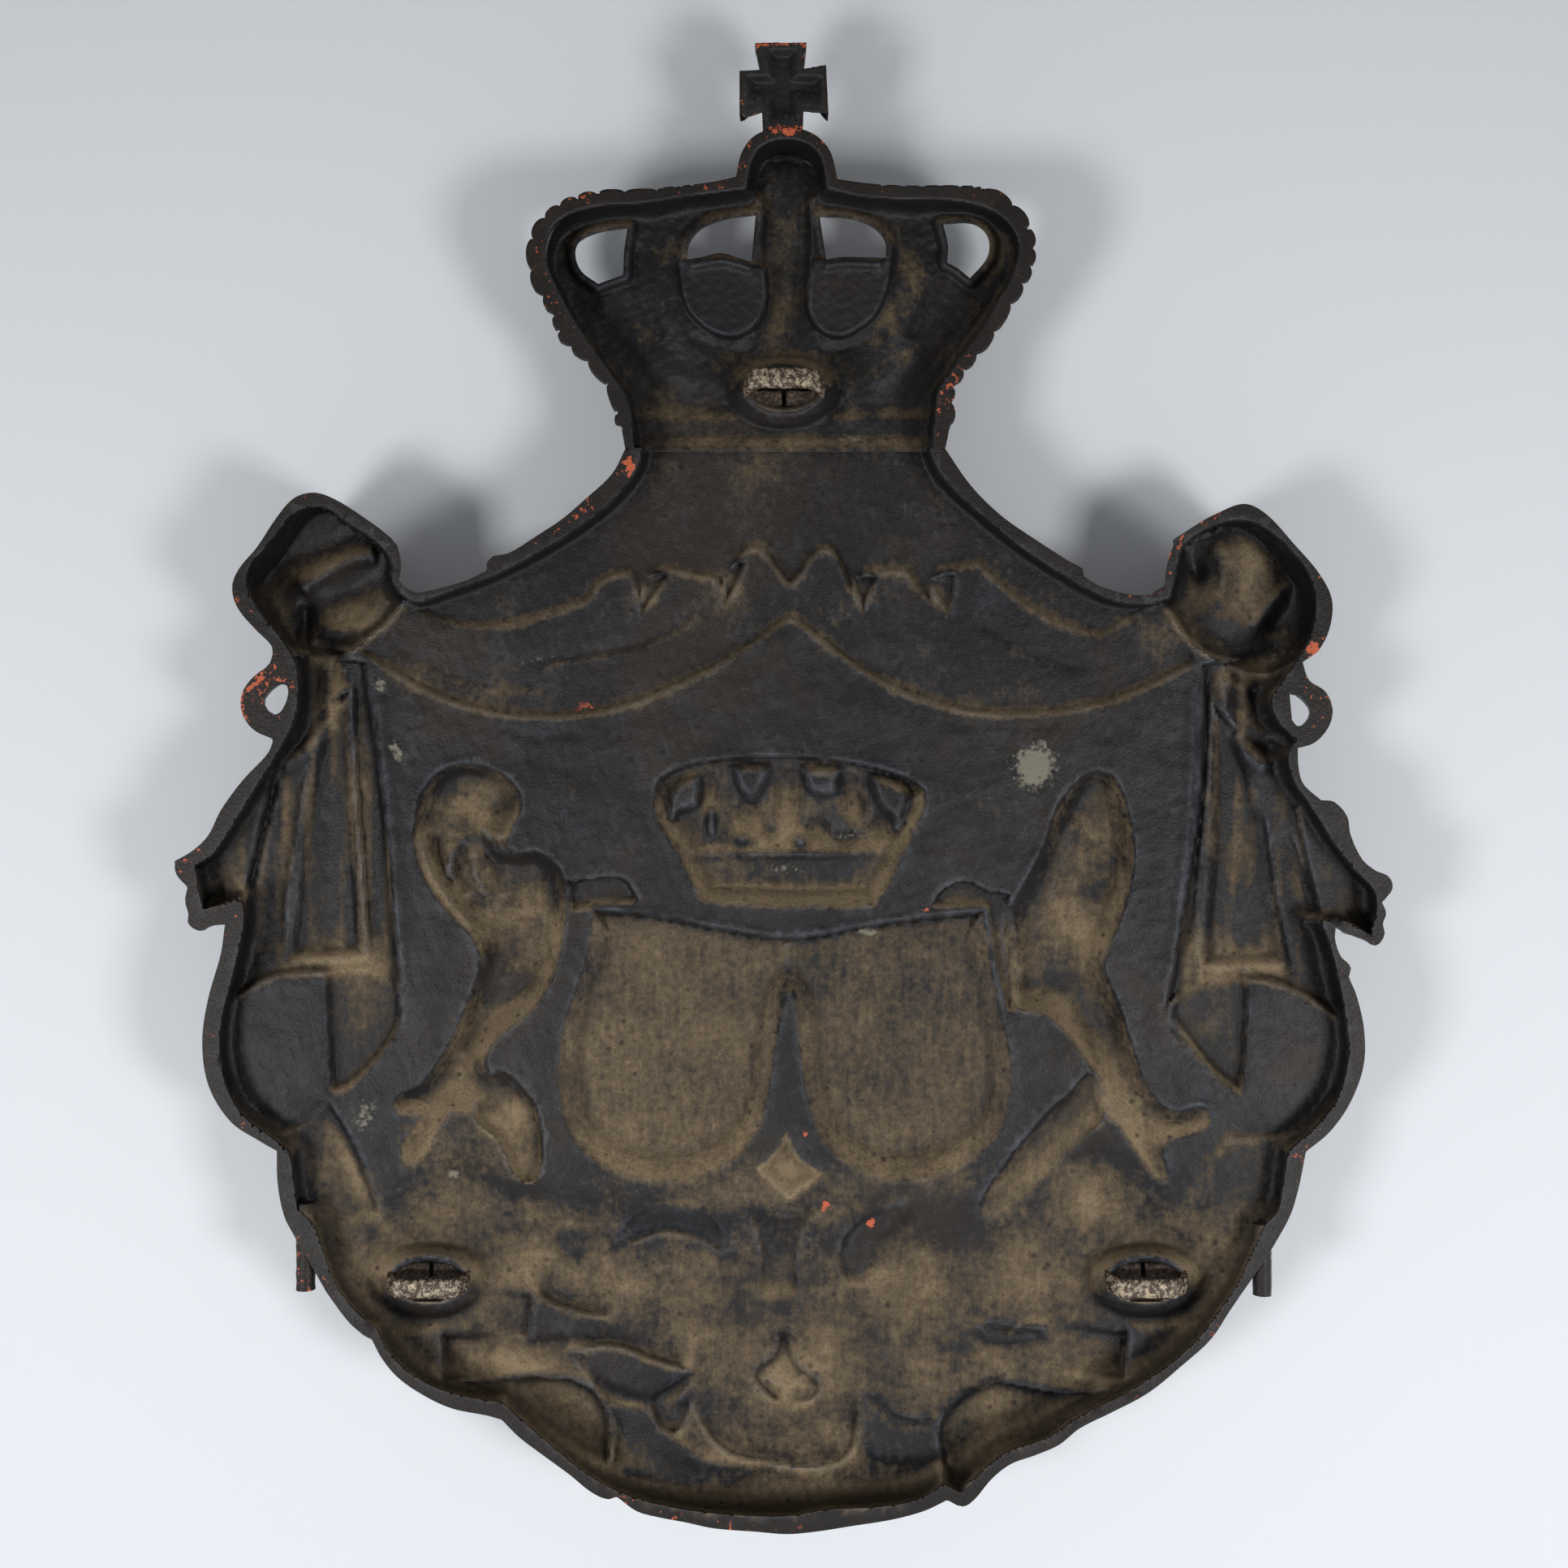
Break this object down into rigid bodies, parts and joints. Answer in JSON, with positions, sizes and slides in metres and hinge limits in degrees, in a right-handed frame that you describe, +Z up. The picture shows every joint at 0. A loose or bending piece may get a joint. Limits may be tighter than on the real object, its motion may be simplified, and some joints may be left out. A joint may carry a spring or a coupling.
{
  "type": "cast iron coat of arms",
  "caption": "Hollow-backed cast iron armorial wall relief: crowned mantle with supporters and plain shields, a crown with a cross, and strap eyes behind to hang it by.",
  "frame": {"origin": "middle of the upper hanging eye's opening", "axes": "+Z up as it hangs, +Y from the open back to the decorated front, +X to the right as the back is seen"},
  "size_m": [0.7491, 0.057, 0.918],
  "materials": {
    "painted_casting": "old satin black paint over orange primer, with ochre dust and worn edges",
    "strap_iron": "iron strap, its paint worn through to bare grey metal"
  },
  "bodies": {
    "root": {"mantle_casting": "painted_casting", "crown_casting": "painted_casting", "crown_cross": "painted_casting", "crown_key": "strap_iron", "upper_eye": "strap_iron", "lower_left_eye": "strap_iron", "lower_right_eye": "strap_iron"}
  },
  "joints": []
}
